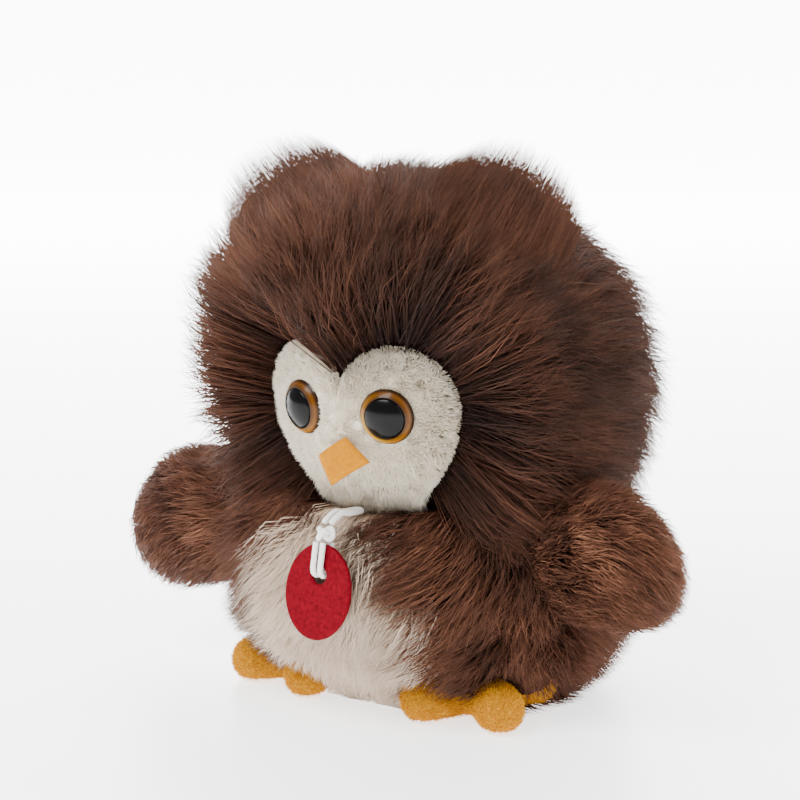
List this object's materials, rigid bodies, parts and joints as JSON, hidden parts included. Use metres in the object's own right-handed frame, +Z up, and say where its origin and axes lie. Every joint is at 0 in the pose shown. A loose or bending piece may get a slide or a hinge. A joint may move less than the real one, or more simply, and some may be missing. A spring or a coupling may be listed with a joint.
{
  "type": "plush toy",
  "caption": "Sitting plush owl with long pile, a short-napped face mask, safety eyes, a felt beak, sprung wings, toed feet and a felt hang tag on an elastic cord.",
  "frame": {"origin": "on the floor, under the middle of the base panel, below the head's centre line", "axes": "+Z is up, the owl faces -Y, and +X is towards its own left wing"},
  "size_m": [0.2251, 0.1354, 0.1792],
  "materials": {
    "brown_plush": "long faux fur pile, combed in locks",
    "white_plush": "long white faux fur pile",
    "cream_plush": "short brushed nap",
    "yellow_plush": "short plush",
    "orange_felt": "felt",
    "red_felt": "felt",
    "white_elastic": "braided elastic",
    "polyester_fibre": "loose fibre filling",
    "calico": "plain weave",
    "pellet_cloth": "plain weave over pellets",
    "amber_plastic": "clear amber gloss",
    "black_plastic": "gloss",
    "washer_plastic": "moulded"
  },
  "bodies": {
    "toy": {"head_cover": "brown_plush", "face_mask": "cream_plush", "head_filling": "polyester_fibre", "ear_left": "brown_plush", "ear_right": "brown_plush", "eye_left": "amber_plastic", "eye_right": "amber_plastic", "pupil_left": "black_plastic", "pupil_right": "black_plastic", "eye_washer_left": "washer_plastic", "eye_washer_right": "washer_plastic", "beak": "orange_felt", "body_cover": "brown_plush", "belly_panel": "white_plush", "body_filling": "polyester_fibre", "pellet_bag": "pellet_cloth", "base_panel": "calico", "foot_left": "yellow_plush", "foot_right": "yellow_plush"},
    "left_wing": {"wing_left": "brown_plush", "wing_left_filling": "polyester_fibre"},
    "right_wing": {"wing_right": "brown_plush", "wing_right_filling": "polyester_fibre"},
    "cord": {"cord_hanger": "white_elastic", "cord_knot": "white_elastic"},
    "tag": {"hang_tag": "red_felt", "cord_loop_left": "white_elastic", "cord_loop_right": "white_elastic"}
  },
  "joints": [
    {"name": "wing_left_swing", "type": "hinge", "parent": "toy", "child": "left_wing", "pos_m": [0.0633, -0.01574, 0.055], "axis": [0, 0, -1], "range_deg": [-20, 40], "stiffness_Nm_per_rad": 0.01},
    {"name": "wing_right_swing", "type": "hinge", "parent": "toy", "child": "right_wing", "pos_m": [-0.0633, -0.01574, 0.055], "axis": [0, 0, 1], "range_deg": [-20, 40], "stiffness_Nm_per_rad": 0.01},
    {"name": "cord_lift", "type": "hinge", "parent": "toy", "child": "cord", "pos_m": [0, -0.0354, 0.067], "axis": [-1, 0, 0], "range_deg": [0, 35]},
    {"name": "tag_sway", "type": "hinge", "parent": "cord", "child": "tag", "pos_m": [0, -0.054, 0.0626], "axis": [0, 0.9816, -0.1908], "range_deg": [-25, 25]}
  ]
}
